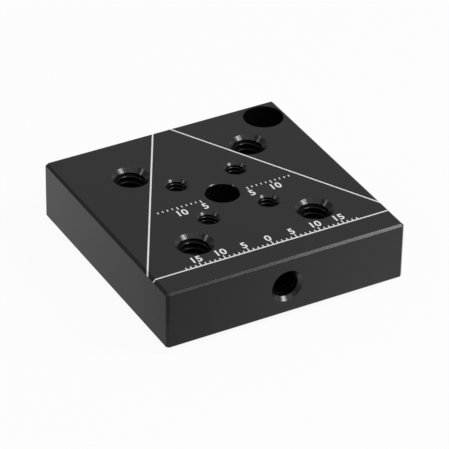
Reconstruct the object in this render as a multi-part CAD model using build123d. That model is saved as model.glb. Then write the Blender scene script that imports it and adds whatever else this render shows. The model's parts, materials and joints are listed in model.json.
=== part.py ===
from build123d import *
import math
import os

# Upper plate of a magnetic kinematic base, in millimetres.
# The origin is under the middle of the plate, level with the lowest points of its three balls.
# +Z is up and -Y is the front, the face with the tapped side hole.

# Plate
plate_side = 50.0
plate_thickness = 12.0
top_edge_break = 0.5
upright_edge_break = 0.5
bottom_edge_break = 0.35

# Tapped holes, modelled at the minor diameter of their threads, with 90 degree countersinks
large_tap_pitch = 25.4  # square of 1/4 inch, 20 threads per inch
large_tap_drill = 5.1
large_tap_sink = 7.4
small_tap_pitch = 12.7  # square of number 8, 32 threads per inch
small_tap_drill = 3.45
small_tap_sink = 4.5
side_tap_drill = 5.1  # 1/4 inch, 20 threads per inch, in the front face
side_tap_sink = 6.5
side_tap_depth = 12.0  # at full diameter, from the front face

# Plain holes
centre_hole_diameter = 6.6
corner_hole_diameter = 7.7
corner_hole_inset = 4.8  # from the right and the back face to its axis
plain_hole_break = 0.15

# Three balls, pressed into blind seats in the underside
ball_diameter = 6.0
ball_stand = 1.5  # how far they stand out of the underside
ball_circle_radius = 23.5
ball_circle_y = -3.8
ball_fit = 0.01  # radial gap in the seat, and the gap to the cone above
ball_seat_break = 0.2

# Disc magnets, glued into flat pockets in the underside
magnet_diameter = 8.0
magnet_thickness = 3.0
magnet_recess = 0.1  # below the underside
magnet_glue_gap = 0.05
magnet_edge_break = 0.3
magnet_pocket_break = 0.2
side_magnet_inset = 6.5  # from the side face to its axis
back_magnet_y = 11.0

# Tools
drill_point_angle = 118.0
overcut = 1.0  # how far a cutting tool starts outside the face it enters

underside_z = ball_stand
top_z = underside_z + plate_thickness


def revolved(points):
    """A solid of revolution about Z, from (radius, height) points that start and end on the axis."""
    return revolve(Plane.XZ * make_face(Polyline(*points, close=True)), Axis.Z)


def through_tool(diameter, mouth):
    """A hole right through the plate, opened at 45 degrees to the mouth diameter at both faces."""
    radius = diameter / 2
    sink = (mouth - diameter) / 2
    outer = mouth / 2 + overcut
    return revolved(
        [
            (0, -overcut),
            (outer, -overcut),
            (radius, sink),
            (radius, plate_thickness - sink),
            (outer, plate_thickness + overcut),
            (0, plate_thickness + overcut),
        ]
    )


def blind_tool(diameter, depth, mouth, point_height=0.0):
    """A hole that enters at height 0 and goes up to depth at full diameter, then to its drill point."""
    radius = diameter / 2
    sink = (mouth - diameter) / 2
    points = [(0, -overcut), (mouth / 2 + overcut, -overcut), (radius, sink), (radius, depth)]
    return revolved(points + [(0, depth + point_height)])


def drill_point_height(diameter):
    return diameter / 2 / math.tan(math.radians(drill_point_angle / 2))


def large_tap_places():
    return GridLocations(large_tap_pitch, large_tap_pitch, 2, 2)


def small_tap_places():
    return GridLocations(small_tap_pitch, small_tap_pitch, 2, 2)


def ball_places():
    """Corners of an equilateral triangle in the underside: back, left front and right front."""
    places = {}
    for name, angle in (("back", 90), ("left", 210), ("right", 330)):
        turn = math.radians(angle)
        x = ball_circle_radius * math.cos(turn)
        y = ball_circle_y + ball_circle_radius * math.sin(turn)
        places[name] = Pos(x, y, underside_z)
    return places


def magnet_places():
    """One magnet between the centre hole and the back ball, and one near the middle of each side."""
    side_x = plate_side / 2 - side_magnet_inset
    return {
        "back": Pos(0, back_magnet_y, underside_z),
        "left": Pos(-side_x, ball_circle_y, underside_z),
        "right": Pos(side_x, ball_circle_y, underside_z),
    }


def plate_blank():
    """The sawn and milled block with its edges broken."""
    up = (Align.CENTER, Align.CENTER, Align.MIN)
    blank = Pos(0, 0, underside_z) * Box(plate_side, plate_side, plate_thickness, align=up)
    blank = chamfer(blank.edges().filter_by(Axis.Z), upright_edge_break)
    blank = chamfer(blank.faces().sort_by(Axis.Z)[-1].edges(), top_edge_break)
    return chamfer(blank.faces().sort_by(Axis.Z)[0].edges(), bottom_edge_break)


def ball_seat_tool():
    """The seat's cone would touch the ball all round, so the ball stops against it when pressed in."""
    seat = ball_diameter + 2 * ball_fit
    centre_height = ball_diameter / 2 - ball_stand
    half_angle = math.radians(drill_point_angle / 2)
    apex = centre_height + (ball_diameter / 2 + ball_fit) / math.sin(half_angle)
    point = drill_point_height(seat)
    return blind_tool(seat, apex - point, seat + 2 * ball_seat_break, point)


def magnet_pocket_tool():
    pocket = magnet_diameter + 2 * magnet_glue_gap
    return blind_tool(pocket, magnet_thickness + magnet_recess, pocket + 2 * magnet_pocket_break)


def plate():
    tools = []
    upright = Pos(0, 0, underside_z)

    large = upright * through_tool(large_tap_drill, large_tap_sink)
    tools += [place * large for place in large_tap_places()]
    small = upright * through_tool(small_tap_drill, small_tap_sink)
    tools += [place * small for place in small_tap_places()]

    tools.append(upright * through_tool(centre_hole_diameter, centre_hole_diameter + 2 * plain_hole_break))
    corner = plate_side / 2 - corner_hole_inset
    corner_tool = through_tool(corner_hole_diameter, corner_hole_diameter + 2 * plain_hole_break)
    tools.append(Pos(corner, corner, underside_z) * corner_tool)

    side_tool = blind_tool(side_tap_drill, side_tap_depth, side_tap_sink, drill_point_height(side_tap_drill))
    side_place = Pos(0, -plate_side / 2, underside_z + plate_thickness / 2)
    tools.append(side_place * Rot(X=-90) * side_tool)

    tools += [place * ball_seat_tool() for place in ball_places().values()]
    tools += [place * magnet_pocket_tool() for place in magnet_places().values()]
    return plate_blank() - tools


def ball():
    """Lowest point ball_stand below the height of its place."""
    return Pos(0, 0, ball_diameter / 2 - ball_stand) * Sphere(ball_diameter / 2)


def magnet():
    disc = Cylinder(magnet_diameter / 2, magnet_thickness, align=(Align.CENTER, Align.CENTER, Align.MIN))
    disc = chamfer(disc.edges().filter_by(GeomType.CIRCLE), magnet_edge_break)
    return Pos(0, 0, magnet_recess) * disc


nodes = {"plate": plate()}
nodes |= {f"ball_{name}": place * ball() for name, place in ball_places().items()}
nodes |= {f"magnet_{name}": place * magnet() for name, place in magnet_places().items()}

os.makedirs("parts", exist_ok=True)
for name, shape in nodes.items():
    export_step(shape, f"parts/{name}.step")
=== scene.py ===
import json
import math

import bmesh
import bpy
from mathutils import Matrix, Vector


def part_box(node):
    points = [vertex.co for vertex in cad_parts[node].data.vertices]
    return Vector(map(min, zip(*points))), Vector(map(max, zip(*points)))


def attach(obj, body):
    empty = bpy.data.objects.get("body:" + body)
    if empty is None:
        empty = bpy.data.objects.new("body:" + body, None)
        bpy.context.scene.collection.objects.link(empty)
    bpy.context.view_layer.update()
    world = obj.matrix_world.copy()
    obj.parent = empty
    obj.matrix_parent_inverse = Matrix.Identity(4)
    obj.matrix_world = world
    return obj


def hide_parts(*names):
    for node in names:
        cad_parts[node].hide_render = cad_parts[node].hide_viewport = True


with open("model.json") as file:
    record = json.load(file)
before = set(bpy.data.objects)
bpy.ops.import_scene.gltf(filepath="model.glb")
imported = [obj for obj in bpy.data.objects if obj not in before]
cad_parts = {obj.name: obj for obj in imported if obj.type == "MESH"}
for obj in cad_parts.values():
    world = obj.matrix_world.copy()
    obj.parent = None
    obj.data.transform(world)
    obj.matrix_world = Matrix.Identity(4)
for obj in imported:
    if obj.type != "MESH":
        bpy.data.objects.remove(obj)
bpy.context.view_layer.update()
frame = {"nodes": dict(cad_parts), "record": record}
scene = bpy.context.scene
mm = 0.001
mounts = {mount["name"]: mount for mount in frame["record"]["mounts"]}
plateLow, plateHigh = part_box("plate")
halfSide = plateHigh.x
print("frame loaded:", len(frame["nodes"]), "nodes")


class Wire:  # one output of a node; arithmetic on it adds Math nodes
    def __init__(self, board, socket):
        self.board = board
        self.socket = socket

    def pick(self, name):  # another output of the same node
        return Wire(self.board, self.socket.node.outputs[name])

    def __add__(self, other):
        return self.board.maths("ADD", self, other)

    def __radd__(self, other):
        return self.board.maths("ADD", other, self)

    def __sub__(self, other):
        return self.board.maths("SUBTRACT", self, other)

    def __rsub__(self, other):
        return self.board.maths("SUBTRACT", other, self)

    def __mul__(self, other):
        return self.board.maths("MULTIPLY", self, other)

    def __rmul__(self, other):
        return self.board.maths("MULTIPLY", other, self)

    def __truediv__(self, other):
        return self.board.maths("DIVIDE", self, other)

    def __rtruediv__(self, other):
        return self.board.maths("DIVIDE", other, self)


class Board:  # a node tree wired up from Python
    def __init__(self, tree):
        self.tree = tree

    def add(self, kind, settings=None, inputs=None, output=0):
        node = self.tree.nodes.new(kind)
        for name, value in (settings or {}).items():
            if name == "stops":
                self.setStops(node.color_ramp, value)
            else:
                setattr(node, name, value)
        for key, value in (inputs or {}).items():
            if isinstance(value, Wire):
                self.tree.links.new(value.socket, node.inputs[key])
            else:
                node.inputs[key].default_value = value
        return Wire(self, node.outputs[output]) if len(node.outputs) else node

    def maths(self, operation, first, second=0.0):
        return self.add("ShaderNodeMath", {"operation": operation}, {0: first, 1: second})

    def setStops(self, ramp, stops):
        while len(ramp.elements) < len(stops):
            ramp.elements.new(1.0)
        for element, (place, colour) in zip(ramp.elements, stops):
            element.position = place
            element.color = colour


def grey(level):
    return (level, level, level, 1.0)


def newMaterial(name):
    material = bpy.data.materials.new(name)
    material.use_nodes = True
    material.node_tree.nodes.clear()
    return material, Board(material.node_tree)


def finishMaterial(board, inputs):
    shader = board.add("ShaderNodeBsdfPrincipled", None, inputs)
    board.add("ShaderNodeOutputMaterial", None, {"Surface": shader})


def noise(board, place, scale, detail=2.0, roughness=0.5):
    return board.add(
        "ShaderNodeTexNoise",
        {"noise_dimensions": "3D"},
        {"Vector": place, "Scale": scale, "Detail": detail, "Roughness": roughness},
    )


def mixColours(board, factor, dark, light):
    return board.add("ShaderNodeMix", {"data_type": "RGBA"}, {0: factor, 6: dark, 7: light}, 2)


def bumped(board, height, strength, depth, below=None):
    inputs = {"Height": height, "Strength": strength, "Distance": depth}
    if below is not None:
        inputs["Normal"] = below
    return board.add("ShaderNodeBump", None, inputs)


def around(middle, spread, wave):
    # a value that swings about its middle as the wave goes from 0 to 1
    return middle - spread + 2 * spread * wave


def clamped(board, value, low, high):
    return board.maths("MINIMUM", board.maths("MAXIMUM", value, low), high)


# Camera
cameraLook = {
    "azimuth": -29.331,  # degrees, 0 looks along +Y
    "elevation": 33.555,
    "roll": 0.947,
    "aim": (1.537 * mm, 1.703 * mm, 4.874 * mm),
    "distance": 601.81 * mm,
    "lens": 253.91,  # millimetres, as the sensor
    "sensor": 36.0,
    "clip": (0.05, 20.0),
}


def makeCamera(look):
    data = bpy.data.cameras.new("camera")
    data.lens = look["lens"]
    data.sensor_width = look["sensor"]
    data.clip_start, data.clip_end = look["clip"]
    camera = bpy.data.objects.new("camera", data)
    scene.collection.objects.link(camera)
    turn = Matrix.Rotation(math.radians(look["azimuth"]), 4, "Z")
    turn @= Matrix.Rotation(math.radians(90.0 - look["elevation"]), 4, "X")
    turn @= Matrix.Rotation(math.radians(look["roll"]), 4, "Z")
    back = turn.to_3x3() @ Vector((0, 0, 1))
    camera.matrix_world = Matrix.Translation(Vector(look["aim"]) + back * look["distance"]) @ turn
    scene.camera = camera


makeCamera(cameraLook)
print("camera made")


# Materials
blasted = {
    "tone": 0.009,
    "toneSpread": 0.12,  # share of the tone
    "roughness": 0.42,
    "roughnessSpread": 0.03,
    "ior": 1.44,
    "cloud": 140.0,  # noise scales: the slow change of tone, and the blasted grain
    "grain": 9000.0,
    "bump": 0.10,
    "bumpDepth": 0.02 * mm,
}
machined = {
    "tone": 0.005,
    "roughness": 0.21,
    "roughnessSpread": 0.04,
    "ior": 1.34,
    "wobble": 900.0,
    "sheen": 0.44,
    # painted highlight: the side hole's countersink is given more sheen than the upright ones
    "sideHighlightSheen": 0.64,
    "sheenSwing": 0.28,  # how far the chatter changes the sheen
    "ringGap": 0.09 * mm,
    "ringWobble": 2.5,
    "ringBump": 0.03,
    "chatterCount": 38,  # waves round a countersink
    "chatterWobble": 9.0,
    "chatterBump": 0.16,
    "bumpDepth": 0.01 * mm,
    "sideChatter": 0.25,  # the side hole's countersink has less of it
    "shadeDepths": (1.0 * mm, 2.2 * mm),  # painted shade: deeper in a hole the sheen fades out
    "dullness": 0.2,  # added to the roughness where it has faded
    "holeShares": (3.8 * mm, 8.8 * mm),  # from the middle along X or Y, where the next hole's share begins
}
milled = {
    "tone": 0.005,
    "roughness": 0.2,
    "roughnessSpread": 0.03,
    "ior": 1.5,
    "haze": 300.0,
    "streaks": 4000.0,
    "bump": 0.03,
    "bumpDepth": 0.01 * mm,
}
threaded = {"tone": 0.003, "roughness": 0.45, "roughnessSpread": 0.05, "ior": 1.12, "grain": 2500.0}
marking = {"tone": 0.9, "toneSpread": 0.04, "roughness": 0.6, "grain": 14000.0}
steel = {"tone": 0.60, "roughness": 0.09, "roughnessSpread": 0.03, "haze": 700.0}
nickel = {
    "tint": (0.66, 0.635, 0.59, 1.0),
    "roughness": 0.2,
    "roughnessSpread": 0.05,
    "haze": 500.0,
    "grain": 6000.0,
    "bump": 0.08,
    "bumpDepth": 0.01 * mm,
}


def blastedBlack(look):
    # outer faces: fine bead blasting under black anodising
    material, board = newMaterial("blastedBlack")
    place = board.add("ShaderNodeTexCoord", output="Object")
    cloud = noise(board, place, look["cloud"], 3.0)
    grain = noise(board, place, look["grain"], 2.0, 0.6)
    low = look["tone"] * (1 - look["toneSpread"])
    high = look["tone"] * (1 + look["toneSpread"])
    finishMaterial(
        board,
        {
            "Base Color": mixColours(board, cloud, grey(low), grey(high)),
            "Roughness": around(look["roughness"], look["roughnessSpread"], cloud),
            "Normal": bumped(board, grain, look["bump"], look["bumpDepth"]),
            "IOR": look["ior"],
        },
    )
    return material


def fromHole(board, coordinate, shares):
    # offset along X or Y from the nearest hole of the square patterns: centre, small taps, large taps
    size = board.maths("ABSOLUTE", coordinate)
    step = mounts["small_taps"]["dims"]["spacing_x_mm"] * mm / 2
    first, second = [board.maths("GREATER_THAN", size, share) for share in shares]
    return size - step * (first + second)


def machinedBlack(name, axis, look, sheen, share):
    # countersinks and the crests' broken corners: fine rings along a hole's axis and chatter round it,
    # with painted shade deeper in the hole: the sheen fades out and the surface gets duller
    material, board = newMaterial(name)
    place = board.add("ShaderNodeTexCoord", output="Object")
    parts = board.add("ShaderNodeSeparateXYZ", None, {0: place})
    along = parts.pick(axis)
    if axis == "Z":
        middle = (plateLow.z + plateHigh.z) / 2
        depth = plateHigh.z - middle - board.maths("ABSOLUTE", along - middle)
        across, up = [fromHole(board, parts.pick(letter), look["holeShares"]) for letter in "XY"]
    else:
        depth = along - plateLow.y
        across, up = parts.pick("X"), parts.pick("Z") - mounts["side_tap"]["pos_m"][2]
    angle = board.maths("ARCTAN2", up, across)
    # painted shade: less sheen deeper in the hole, where less light reaches
    start, end = look["shadeDepths"]
    unshadedShare = clamped(board, (end - depth) / (end - start), 0.0, 1.0)
    wobble = noise(board, place, look["wobble"])
    rings = board.maths("SINE", along * (2 * math.pi / look["ringGap"]) + look["ringWobble"] * wobble)
    chatter = board.maths("SINE", angle * look["chatterCount"] + look["chatterWobble"] * wobble)
    ringed = bumped(board, rings, look["ringBump"], look["bumpDepth"])
    roughness = around(look["roughness"], look["roughnessSpread"], wobble)
    finishMaterial(
        board,
        {
            "Base Color": grey(look["tone"]),
            "Roughness": roughness + look["dullness"] * (1 - unshadedShare),
            "Normal": bumped(board, chatter, look["chatterBump"] * share, look["bumpDepth"], ringed),
            "IOR": look["ior"],
            "Coat Weight": (sheen + look["sheenSwing"] * share * chatter) * unshadedShare,
            "Coat Roughness": look["roughness"],
        },
    )
    return material


def milledBlack(look):
    # the broken outer edges: smoother than the faces, with fine streaks along them
    material, board = newMaterial("milledBlack")
    place = board.add("ShaderNodeTexCoord", output="Object")
    height = board.add("ShaderNodeSeparateXYZ", None, {0: place}).pick("Z")
    streaks = board.add(
        "ShaderNodeTexNoise", {"noise_dimensions": "1D"}, {"W": height, "Scale": look["streaks"]}
    )
    haze = noise(board, place, look["haze"])
    finishMaterial(
        board,
        {
            "Base Color": grey(look["tone"]),
            "Roughness": around(look["roughness"], look["roughnessSpread"], haze),
            "Normal": bumped(board, streaks, look["bump"], look["bumpDepth"]),
            "IOR": look["ior"],
        },
    )
    return material


def threadBlack(look):
    # threads and bores
    material, board = newMaterial("threadBlack")
    place = board.add("ShaderNodeTexCoord", output="Object")
    grain = noise(board, place, look["grain"])
    finishMaterial(
        board,
        {
            "Base Color": grey(look["tone"]),
            "Roughness": around(look["roughness"], look["roughnessSpread"], grain),
            "IOR": look["ior"],
        },
    )
    return material


def whiteMarking(look):
    material, board = newMaterial("whiteMarking")
    place = board.add("ShaderNodeTexCoord", output="Object")
    grain = noise(board, place, look["grain"])
    low, high = look["tone"] - look["toneSpread"], look["tone"] + look["toneSpread"]
    finishMaterial(
        board,
        {
            "Base Color": mixColours(board, grain, grey(low), grey(high)),
            "Roughness": look["roughness"],
        },
    )
    return material


def ballSteel(look):
    material, board = newMaterial("ballSteel")
    place = board.add("ShaderNodeTexCoord", output="Object")
    haze = noise(board, place, look["haze"], 4.0)
    finishMaterial(
        board,
        {
            "Base Color": grey(look["tone"]),
            "Metallic": 1.0,
            "Roughness": around(look["roughness"], look["roughnessSpread"], haze),
        },
    )
    return material


def nickelPlate(look):
    material, board = newMaterial("nickelPlate")
    place = board.add("ShaderNodeTexCoord", output="Object")
    haze = noise(board, place, look["haze"], 4.0)
    grain = noise(board, place, look["grain"])
    finishMaterial(
        board,
        {
            "Base Color": look["tint"],
            "Metallic": 1.0,
            "Roughness": around(look["roughness"], look["roughnessSpread"], haze),
            "Normal": bumped(board, grain, look["bump"], look["bumpDepth"]),
        },
    )
    return material


blackOutside = blastedBlack(blasted)
blackUpright = machinedBlack("machinedUpright", "Z", machined, machined["sheen"], 1.0)
# the side countersink takes the larger sheen, a painted highlight
blackSide = machinedBlack("machinedSide", "Y", machined, machined["sideHighlightSheen"], machined["sideChatter"])
blackThread = threadBlack(threaded)
blackEdge = milledBlack(milled)
white = whiteMarking(marking)
ballFinish = ballSteel(steel)
magnetFinish = nickelPlate(nickel)
print("materials made")


def addObject(name, mesh):
    piece = bpy.data.objects.new(name, mesh)
    scene.collection.objects.link(piece)
    return piece


def plainMesh(piece):
    # the piece as its modifiers leave it, as a mesh of its own
    graph = bpy.context.evaluated_depsgraph_get()
    return bpy.data.meshes.new_from_object(piece.evaluated_get(graph), depsgraph=graph)


def runTree(name, tree, inputs):
    # runs a Geometry Nodes tree on an empty mesh, with its inputs set by their identifiers
    carrier = addObject(name, bpy.data.meshes.new(name))
    modifier = carrier.modifiers.new("nodes", "NODES")
    modifier.node_group = tree
    sockets = {item.name: item.identifier for item in tree.interface.items_tree}
    for label, value in inputs.items():
        modifier[sockets[label]] = value
    mesh = plainMesh(carrier)
    carrier.modifiers.remove(modifier)
    bpy.data.objects.remove(carrier)
    return mesh


def treeInputs(tree, floats, whole=()):
    for label in floats:
        tree.interface.new_socket(label, in_out="INPUT", socket_type="NodeSocketFloat")
    for label in whole:
        tree.interface.new_socket(label, in_out="INPUT", socket_type="NodeSocketInt")
    tree.interface.new_socket("Geometry", in_out="OUTPUT", socket_type="NodeSocketGeometry")


# Threads: helical cutters, one for each hole of a square
threads = {
    "quarterInch": {"pitch": 25.4 * mm / 20, "major": 6.35 * mm, "steps": 54},
    "numberEight": {"pitch": 25.4 * mm / 32, "major": 4.166 * mm, "steps": 40},
    "rootFlat": 1 / 8,  # of the pitch
    "flankSlope": math.tan(math.radians(30)),
    "inside": 0.25 * mm,  # how far a cutter starts inside the bore's wall
    "crestBreak": 0.055 * mm,  # the crests' corners are taken off
    "crestSlope": 1.0,  # at 45 degrees
    "crestTrim": 0.01 * mm,  # keeps that cutter's edges off the groove's
    "largeTurn": math.radians(185),  # these set where a groove starts in its countersink
    "smallTurn": math.radians(314),
    "sideTurn": math.radians(285),
    "sideStart": 1.25 * mm,
    "sideLength": 10.2 * mm,
}


def threadTree():
    # a trapezoid, narrow side outwards, swept along a right-hand helix and set at each hole
    tree = bpy.data.node_groups.new("threadCutter", "GeometryNodeTree")
    floats = ["Spacing", "Mid Radius", "Height", "Turns", "Depth", "Wide", "Narrow", "Base", "Turn"]
    treeInputs(tree, floats, ["Steps", "Holes"])
    board = Board(tree)
    given = board.add("NodeGroupInput")
    helix = board.add(
        "GeometryNodeCurveSpiral",
        None,
        {
            "Resolution": given.pick("Steps"),
            "Rotations": given.pick("Turns"),
            "Start Radius": given.pick("Mid Radius"),
            "End Radius": given.pick("Mid Radius"),
            "Height": given.pick("Height"),
            "Reverse": True,
        },
    )
    upright = board.add("GeometryNodeSetCurveNormal", {"mode": "Z_UP"}, {"Curve": helix})
    section = board.add(
        "GeometryNodeCurvePrimitiveQuadrilateral",
        {"mode": "TRAPEZOID"},
        {
            "Height": given.pick("Depth"),
            "Bottom Width": given.pick("Wide"),
            "Top Width": given.pick("Narrow"),
            "Offset": 0.0,
        },
    )
    turned = board.add("GeometryNodeTransform", None, {"Geometry": section, "Rotation": (0, 0, -math.pi / 2)})
    cutter = board.add(
        "GeometryNodeCurveToMesh", None, {"Curve": upright, "Profile Curve": turned, "Fill Caps": True}
    )
    holes = board.add(
        "GeometryNodeMeshGrid",
        None,
        {
            "Size X": given.pick("Spacing"),
            "Size Y": given.pick("Spacing"),
            "Vertices X": given.pick("Holes"),
            "Vertices Y": given.pick("Holes"),
        },
    )
    turn = board.add("ShaderNodeCombineXYZ", None, {"Z": given.pick("Turn")})
    spin = board.add("FunctionNodeEulerToRotation", None, {0: turn})
    placed = board.add(
        "GeometryNodeInstanceOnPoints", None, {"Points": holes, "Instance": cutter, "Rotation": spin}
    )
    lift = board.add("ShaderNodeCombineXYZ", None, {"Z": given.pick("Base")})
    lifted = board.add("GeometryNodeTransform", None, {"Geometry": placed, "Translation": lift})
    real = board.add("GeometryNodeRealizeInstances", None, {"Geometry": lifted})
    coated = board.add("GeometryNodeSetMaterial", None, {"Geometry": real, "Material": blackThread})
    board.add("NodeGroupOutput", None, {"Geometry": coated})
    return tree


def grooveShape(thread, boreRadius):
    # outer radius, width there, slope of the sides
    return thread["major"] / 2, threads["rootFlat"] * thread["pitch"], threads["flankSlope"]


def crestShape(thread, boreRadius):
    outer = boreRadius + threads["crestBreak"]
    root = thread["major"] / 2
    width = threads["rootFlat"] * thread["pitch"] + 2 * (root - outer) * threads["flankSlope"]
    return outer, width - threads["crestTrim"], threads["crestSlope"]


def cutterMesh(name, tree, thread, shape, boreRadius, spacing, holes, base, length, turn):
    outer, narrow, slope = shape(thread, boreRadius)
    inner = boreRadius - threads["inside"]
    return runTree(
        name,
        tree,
        {
            "Spacing": spacing,
            "Mid Radius": (outer + inner) / 2,
            "Height": length,
            "Turns": length / thread["pitch"],
            "Depth": outer - inner,
            "Wide": narrow + 2 * (outer - inner) * slope,
            "Narrow": narrow,
            "Base": base,
            "Turn": turn,
            "Steps": thread["steps"],
            "Holes": holes,
        },
    )


def cutWith(piece, mesh):
    cutter = addObject(mesh.name, mesh)
    modifier = piece.modifiers.new("thread", "BOOLEAN")
    modifier.operation = "DIFFERENCE"
    modifier.solver = "MANIFOLD"
    modifier.object = cutter
    cutMesh = plainMesh(piece)
    piece.modifiers.remove(modifier)
    piece.data = cutMesh
    bpy.data.objects.remove(cutter)


def cutThreads(piece):
    tree = threadTree()
    rows = (
        ("quarterInch", "large_taps", threads["largeTurn"]),
        ("numberEight", "small_taps", threads["smallTurn"]),
    )
    for shape in (grooveShape, crestShape):
        for name, mount, turn in rows:
            dims = mounts[mount]["dims"]
            thread = threads[name]
            start = plateLow.z - thread["pitch"]
            length = plateHigh.z - plateLow.z + 2 * thread["pitch"]
            bore = dims["hole_r_mm"] * mm
            spacing = dims["spacing_x_mm"] * mm
            cutWith(piece, cutterMesh(name, tree, thread, shape, bore, spacing, 2, start, length, turn))
    side = mounts["side_tap"]
    thread = threads["quarterInch"]
    bore = side["dims"]["r_mm"] * mm
    start = threads["sideStart"]
    length = threads["sideLength"] - start
    turn = threads["sideTurn"]
    mesh = cutterMesh("sideThread", tree, thread, grooveShape, bore, 0.0, 1, start, length, turn)
    mesh.transform(Matrix.Rotation(-math.pi / 2, 4, "X"))
    mesh.transform(Matrix.Translation((side["pos_m"][0], plateLow.y, side["pos_m"][2])))
    cutWith(piece, mesh)


# Plate: a welded copy of the CAD node with softened edges and threads
plateLook = {
    "weld": 0.0005 * mm,
    "soften": 0.07 * mm,  # rounding of the outer edges
    "outerReach": 0.6 * mm,  # an edge is outer where it is this close to two sides of the box
    "corner": math.radians(20),  # and turns by more than this
    "mouths": {"large_taps": 3.7 * mm, "small_taps": 2.25 * mm},  # radii of the countersinks
    "sideMouth": 3.25 * mm,
    "sideHoleEnd": -10 * mm,  # the side hole lies in front of this
    "plainBreak": 0.15 * mm,
    "seatBreak": 0.25 * mm,
    "margin": 0.02 * mm,  # round a hole's mouth
    "flat": 0.99,  # the least share of an outer face's normal along one axis
    "sinkSteepness": (0.66, 0.76),  # share of a countersink's normal along the hole
    "largestSmooth": 5 * mm * mm,
    "smoothAngle": math.radians(24),
}


def weldedCopy(node):
    source = frame["nodes"][node].data
    mesh = source.copy()
    mesh.name = node + "Copy"
    piece = addObject(mesh.name, mesh)
    weld = piece.modifiers.new("weld", "WELD")
    weld.merge_threshold = plateLook["weld"]
    piece.data = plainMesh(piece)
    piece.modifiers.clear()
    return piece


def softenEdges(piece):
    # takes the sharpness off the edges of the outer faces and of the broken edges between them
    form = bmesh.new()
    form.from_mesh(piece.data)
    outer = []
    for edge in form.edges:
        middle = (edge.verts[0].co + edge.verts[1].co) / 2
        gaps = [min(middle[i] - plateLow[i], plateHigh[i] - middle[i]) for i in range(3)]
        near = sum(gap < plateLook["outerReach"] for gap in gaps)
        if near > 1 and edge.calc_face_angle() > plateLook["corner"]:
            outer.append(edge)
    bmesh.ops.bevel(
        form,
        geom=outer,
        offset=plateLook["soften"],
        segments=2,
        profile=0.5,
        affect="EDGES",
        clamp_overlap=True,
    )
    form.to_mesh(piece.data)
    form.free()
    print("edges softened:", len(outer))


def holeList():
    # axis, place, radius of the mouth and whether the broken rim shines, for all holes and seats
    holes = []
    for name, mouth in plateLook["mouths"].items():
        step = mounts[name]["dims"]["spacing_x_mm"] * mm / 2
        holes += [("Z", Vector((x, y, 0)), mouth, True) for x in (-step, step) for y in (-step, step)]
    for name, shines in (("centre_hole", True), ("corner_hole", False)):
        mouth = mounts[name]["dims"]["r_mm"] * mm + plateLook["plainBreak"]
        holes.append(("Z", Vector(mounts[name]["pos_m"]), mouth, shines))
    holes.append(("Y", Vector(mounts["side_tap"]["pos_m"]), plateLook["sideMouth"], True))
    for node in frame["nodes"]:
        if node != "plate":
            low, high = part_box(node)
            holes.append(("Z", (low + high) / 2, (high.x - low.x) / 2 + plateLook["seatBreak"], False))
    return holes


def faceFinish(middle, normal, holes):
    # index of a face's material: 0 outside, 1 and 2 countersinks, 3 threads and bores, 4 broken edges
    margin = plateLook["margin"]
    low, high = plateLook["sinkSteepness"]
    for axis, place, mouth, shines in holes:
        away = middle - place
        if axis == "Z":
            outside = min(abs(middle.z - plateLow.z), abs(middle.z - plateHigh.z)) < margin / 4
            near = math.hypot(away.x, away.y) < mouth + margin
            steepness = abs(normal.z)
        else:
            outside = abs(middle.y - plateLow.y) < margin / 4
            near = math.hypot(away.x, away.z) < mouth + margin and middle.y < plateLook["sideHoleEnd"]
            steepness = abs(normal.y)
        if near and not outside:
            if shines and low < steepness < high:
                return 1 if axis == "Z" else 2
            return 3
    return 0 if max(abs(part) for part in normal) > plateLook["flat"] else 4


def finishPlate(piece):
    mesh = piece.data
    mesh.materials.clear()
    for material in (blackOutside, blackUpright, blackSide, blackThread, blackEdge):
        mesh.materials.append(material)
    for name in ("custom_normal", "sharp_edge", "sharp_face"):
        if name in mesh.attributes:
            mesh.attributes.remove(mesh.attributes[name])
    holes = holeList()
    form = bmesh.new()
    form.from_mesh(mesh)
    for face in form.faces:
        index = faceFinish(face.calc_center_median(), face.normal, holes)
        face.material_index = index
        face.smooth = index in (1, 2, 3) or index == 4 and face.calc_area() < plateLook["largestSmooth"]
    for edge in form.edges:
        kinds = {face.material_index for face in edge.link_faces}
        edge.smooth = len(kinds) == 1 and edge.calc_face_angle() < plateLook["smoothAngle"]
    form.to_mesh(mesh)
    form.free()


plate = weldedCopy("plate")
softenEdges(plate)
cutThreads(plate)
plate.name = "threadedPlate"
plate.data.name = "threadedPlate"
finishPlate(plate)
print("plate threaded:", len(plate.data.polygons), "faces")


# White marking
lines = {
    "width": 0.31 * mm,
    "height": 0.015 * mm,
    "sunk": 0.01 * mm,
    "apexY": 27.95 * mm,
    "baseY": -19.58 * mm,
    "slope": math.radians(61.13),
    "start": 20 * mm,  # the sides are drawn both ways from this far below the apex
    "edgeBreak": 0.5 * mm,
}


def topHeight(x, y):
    # height of the top face and of the broken edge around it
    inner = halfSide - lines["edgeBreak"]
    return plateHigh.z - max(0.0, abs(x) - inner, abs(y) - inner)


def wayOut(start, direction, half):
    # where a line in plan from start leaves a square of this half width
    reach = []
    for axis in (0, 1):
        if abs(direction[axis]) > 1e-9:
            side = half if direction[axis] > 0 else -half
            reach.append((side - start[axis]) / direction[axis])
    return start + direction * min(reach)


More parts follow.
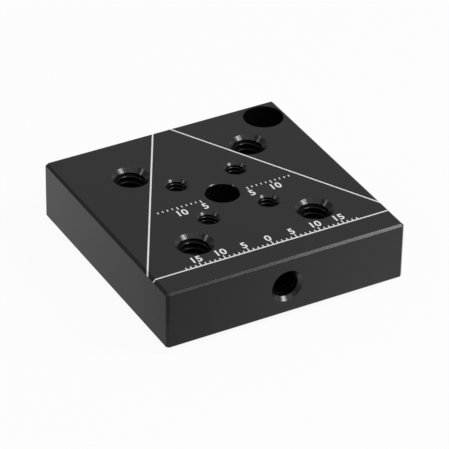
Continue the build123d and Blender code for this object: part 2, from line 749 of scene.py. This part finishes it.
def markedLine(start, direction):
    # a thin closed band on the top face that runs on over the broken edges at both ends
    across = Vector((-direction.y, direction.x)) * lines["width"] / 2
    rails = []
    for shift in (across, -across):
        middle = start + shift
        inner = halfSide - lines["edgeBreak"]
        rails.append(
            [
                wayOut(middle, -direction, halfSide),
                wayOut(middle, -direction, inner),
                wayOut(middle, direction, inner),
                wayOut(middle, direction, halfSide),
            ]
        )
    verts = []
    for left, right in zip(*rails):
        for lift in (lines["height"], -lines["sunk"]):
            for point in (left, right):
                verts.append((point.x, point.y, topHeight(point.x, point.y) + lift))
    faces = [(2, 3, 1, 0)]
    for step in range(len(rails[0]) - 1):
        a = step * 4
        b = a + 4
        faces += [(a, a + 1, b + 1, b), (a + 3, a + 2, b + 2, b + 3)]
        faces += [(a + 2, a, b, b + 2), (a + 1, a + 3, b + 3, b + 1)]
    faces.append((b, b + 1, b + 3, b + 2))
    return verts, faces


def makeLines():
    apex = Vector((0, lines["apexY"]))
    bands = [markedLine(Vector((0, lines["baseY"])), Vector((1, 0)))]
    for side in (-1, 1):
        down = Vector((side * math.cos(lines["slope"]), -math.sin(lines["slope"])))
        bands.append(markedLine(apex + down * lines["start"], down))
    verts, faces = [], []
    for bandVerts, bandFaces in bands:
        first = len(verts)
        verts += bandVerts
        faces += [tuple(first + i for i in face) for face in bandFaces]
    mesh = bpy.data.meshes.new("guideLines")
    mesh.from_pydata(verts, [], faces)
    mesh.materials.append(white)
    return addObject("guideLines", mesh)


guideLines = makeLines()
print("lines marked")

# Plain millimetre scales, one on the base line and one each side of the centre hole
scale = {
    "tickWidth": 0.22 * mm,
    "shortTick": 0.55 * mm,
    "longTick": 0.95 * mm,
    "height": 0.013 * mm,
    "sunk": 0.01 * mm,
    "numberHeight": 1.75 * mm,
    "numberGap": 0.3 * mm,
    "capHeight": 0.7,  # share of the text's size
    "boldness": 0.05 * mm,
    "resolution": 4,
    "weld": 0.0002 * mm,
    "step": 1.0 * mm,
    "longEvery": 5,
    "baseReach": 18,  # steps each side of the middle
    "baseNumbers": (-15, -10, -5, 0, 5, 10, 15),
    "innerStart": 5,
    "innerReach": 14,
    "innerNumbers": (-10, -5, 5, 10),
    "innerY": -0.35 * mm,
}


def tickTree():
    # a row of ticks along X, some of them longer
    tree = bpy.data.node_groups.new("scaleTicks", "GeometryNodeTree")
    floats = ["Step", "Start X", "Line Y", "Tick Width", "Short", "Long", "Up", "Bottom", "Thickness"]
    treeInputs(tree, floats, ["Count", "First"])
    board = Board(tree)
    given = board.add("NodeGroupInput")
    start = board.add("ShaderNodeCombineXYZ", None, {"X": given.pick("Start X")})
    along = board.add("ShaderNodeCombineXYZ", None, {"X": given.pick("Step")})
    row = board.add(
        "GeometryNodeMeshLine",
        {"mode": "OFFSET"},
        {"Count": given.pick("Count"), "Start Location": start, "Offset": along},
    )
    index = board.add("GeometryNodeInputIndex")
    rest = board.maths("FLOORED_MODULO", index + given.pick("First"), float(scale["longEvery"]))
    isLong = board.maths("LESS_THAN", rest, 0.5)
    length = given.pick("Short") + isLong * (given.pick("Long") - given.pick("Short"))
    tick = board.add("GeometryNodeMeshCube", None, {"Size": (1, 1, 1)})
    size = board.add(
        "ShaderNodeCombineXYZ",
        None,
        {"X": given.pick("Tick Width"), "Y": length, "Z": given.pick("Thickness")},
    )
    shift = board.add(
        "ShaderNodeCombineXYZ",
        None,
        {
            "Y": given.pick("Line Y") + given.pick("Up") * length * 0.5,
            "Z": given.pick("Bottom") + given.pick("Thickness") * 0.5,
        },
    )
    moved = board.add("GeometryNodeSetPosition", None, {"Geometry": row, "Offset": shift})
    ticks = board.add(
        "GeometryNodeInstanceOnPoints", None, {"Points": moved, "Instance": tick, "Scale": size}
    )
    real = board.add("GeometryNodeRealizeInstances", None, {"Geometry": ticks})
    coated = board.add("GeometryNodeSetMaterial", None, {"Geometry": real, "Material": white})
    board.add("NodeGroupOutput", None, {"Geometry": coated})
    return tree


def tickRow(tree, first, last, lineY, up):
    return runTree(
        "scaleTicks",
        tree,
        {
            "Step": scale["step"],
            "Start X": first * scale["step"],
            "Line Y": lineY,
            "Tick Width": scale["tickWidth"],
            "Short": scale["shortTick"],
            "Long": scale["longTick"],
            "Up": up,
            "Bottom": plateHigh.z - scale["sunk"],
            "Thickness": scale["height"] + scale["sunk"],
            "Count": last - first + 1,
            "First": first,
        },
    )


def numberMesh(value, x, y):
    # a plain number, middle bottom at (x, y)
    text = bpy.data.curves.new("number", "FONT")
    text.body = str(abs(value))
    text.align_x = "CENTER"
    text.size = scale["numberHeight"] / scale["capHeight"]
    text.offset = scale["boldness"]
    text.extrude = (scale["height"] + scale["sunk"]) / 2
    text.resolution_u = scale["resolution"]
    writer = bpy.data.objects.new("number", text)
    scene.collection.objects.link(writer)
    mesh = plainMesh(writer)
    bpy.data.objects.remove(writer)
    mesh.transform(Matrix.Translation((x, y, plateHigh.z + (scale["height"] - scale["sunk"]) / 2)))
    mesh.materials.clear()
    mesh.materials.append(white)
    return mesh


def joinMeshes(name, meshes):
    form = bmesh.new()
    for mesh in meshes:
        form.from_mesh(mesh)
    bmesh.ops.remove_doubles(form, verts=form.verts, dist=scale["weld"])
    for face in form.faces:
        face.material_index = 0
    joined = bpy.data.meshes.new(name)
    form.to_mesh(joined)
    form.free()
    joined.materials.append(white)
    return addObject(name, joined)


def makeScale():
    tree = tickTree()
    baseY = lines["baseY"] + lines["width"] / 2
    reach, start, end = scale["baseReach"], scale["innerStart"], scale["innerReach"]
    meshes = [
        tickRow(tree, -reach, reach, baseY, 1.0),
        tickRow(tree, -end, -start, scale["innerY"], -1.0),
        tickRow(tree, start, end, scale["innerY"], -1.0),
    ]
    offset = scale["longTick"] + scale["numberGap"]
    for value in scale["baseNumbers"]:
        meshes.append(numberMesh(value, value * scale["step"], baseY + offset))
    for value in scale["innerNumbers"]:
        low = scale["innerY"] - offset - scale["numberHeight"]
        meshes.append(numberMesh(value, value * scale["step"], low))
    return joinMeshes("millimetreScale", meshes)


millimetreScale = makeScale()
print("scale marked")

# Balls and magnets keep their CAD meshes
for name, node in frame["nodes"].items():
    if name != "plate":
        for slot in node.material_slots:
            slot.material = ballFinish if name.startswith("ball") else magnetFinish
print("balls and magnets finished")

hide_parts("plate")
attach(plate, "root")
for mark in (guideLines, millimetreScale):
    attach(mark, "root")


# Studio
studio = {
    "floorSize": 6.0,
    "floorTone": 0.8,
    "floorGlow": 0.94,  # how far plain white stands in for the lit floor, to the camera and in gloss
    "glossShadeMiddle": 1.005,  # painted shade, seen only in reflections: in gloss the floor's glow darkens towards the left and the front
    "glossShadeSlope": (10.0, 8.0),  # per metre along X and Y
    "glossShadeRange": (0.36, 1.0),
    "skyTone": 0.415,  # the pale grey behind everything, to the camera and in gloss
    "skySlope": 0.208,  # it gets brighter towards the right
    "skyLight": 0.35,
}
lamps = {
    "key": {"towards": (0.60, -0.465, 0.65), "distance": 0.9, "size": (0.26, 0.45), "power": 4.6},
    "rim": {"towards": (-0.707, 0.249, 0.659), "distance": 0.9, "size": (0.12, 0.12), "power": 0.29},
    "soft": {"towards": (-0.20, -0.40, 0.85), "distance": 0.9, "size": (1.0, 0.6), "power": 1.15},
}


def whiteRays(board):
    # 1 for the rays that show the white background: straight, in gloss and through glass
    ray = board.add("ShaderNodeLightPath")
    gloss = board.maths("MAXIMUM", ray.pick("Is Glossy Ray"), ray.pick("Is Transmission Ray"))
    return board.maths("MAXIMUM", ray.pick("Is Camera Ray"), gloss)


def makeFloor(look):
    mesh = bpy.data.meshes.new("floor")
    half = look["floorSize"] / 2
    corners = [(x * half, y * half, 0) for x, y in ((-1, -1), (1, -1), (1, 1), (-1, 1))]
    mesh.from_pydata(corners, [], [(0, 1, 2, 3)])
    material, board = newMaterial("floorPaper")
    paper = board.add("ShaderNodeBsdfDiffuse", None, {"Color": grey(look["floorTone"])})
    place = board.add("ShaderNodeTexCoord", output="Object")
    parts = board.add("ShaderNodeSeparateXYZ", None, {0: place})
    slope, (low, high) = look["glossShadeSlope"], look["glossShadeRange"]
    # painted shade: for glossy rays the floor's glow is darker towards the left and the front
    level = look["glossShadeMiddle"] + slope[0] * parts.pick("X") + slope[1] * parts.pick("Y")
    level = clamped(board, level, low, high)
    gloss = board.add("ShaderNodeLightPath").pick("Is Glossy Ray")
    glow = board.add(
        "ShaderNodeEmission", None, {"Color": grey(1.0), "Strength": 1.0 + gloss * (level - 1.0)}
    )
    seen = whiteRays(board) * look["floorGlow"]
    surface = board.add("ShaderNodeMixShader", None, {0: seen, 1: paper, 2: glow})
    board.add("ShaderNodeOutputMaterial", None, {"Surface": surface})
    mesh.materials.append(material)
    floor = addObject("floor", mesh)


def makeWorld(look):
    world = bpy.data.worlds.new("studio")
    world.use_nodes = True
    world.node_tree.nodes.clear()
    board = Board(world.node_tree)
    direction = board.add("ShaderNodeTexCoord", output="Generated")
    right = board.add("ShaderNodeSeparateXYZ", None, {0: direction}).pick("X")
    tone = look["skyTone"] + look["skySlope"] * right
    strength = look["skyLight"] + (tone - look["skyLight"]) * whiteRays(board)
    background = board.add("ShaderNodeBackground", None, {"Color": grey(1.0), "Strength": strength})
    board.add("ShaderNodeOutputWorld", None, {"Surface": background})
    scene.world = world


def makeLamp(name, look):
    data = bpy.data.lights.new(name, "AREA")
    data.shape = "RECTANGLE"
    data.size, data.size_y = look["size"]
    data.energy = look["power"]
    lamp = bpy.data.objects.new(name, data)
    scene.collection.objects.link(lamp)
    towards = Vector(look["towards"]).normalized()
    lamp.location = towards * look["distance"]
    lamp.rotation_euler = towards.to_track_quat("Z", "Y").to_euler()


makeFloor(studio)
makeWorld(studio)
for name, look in lamps.items():
    makeLamp(name, look)
scene.view_settings.view_transform = "Standard"
print("studio lit")
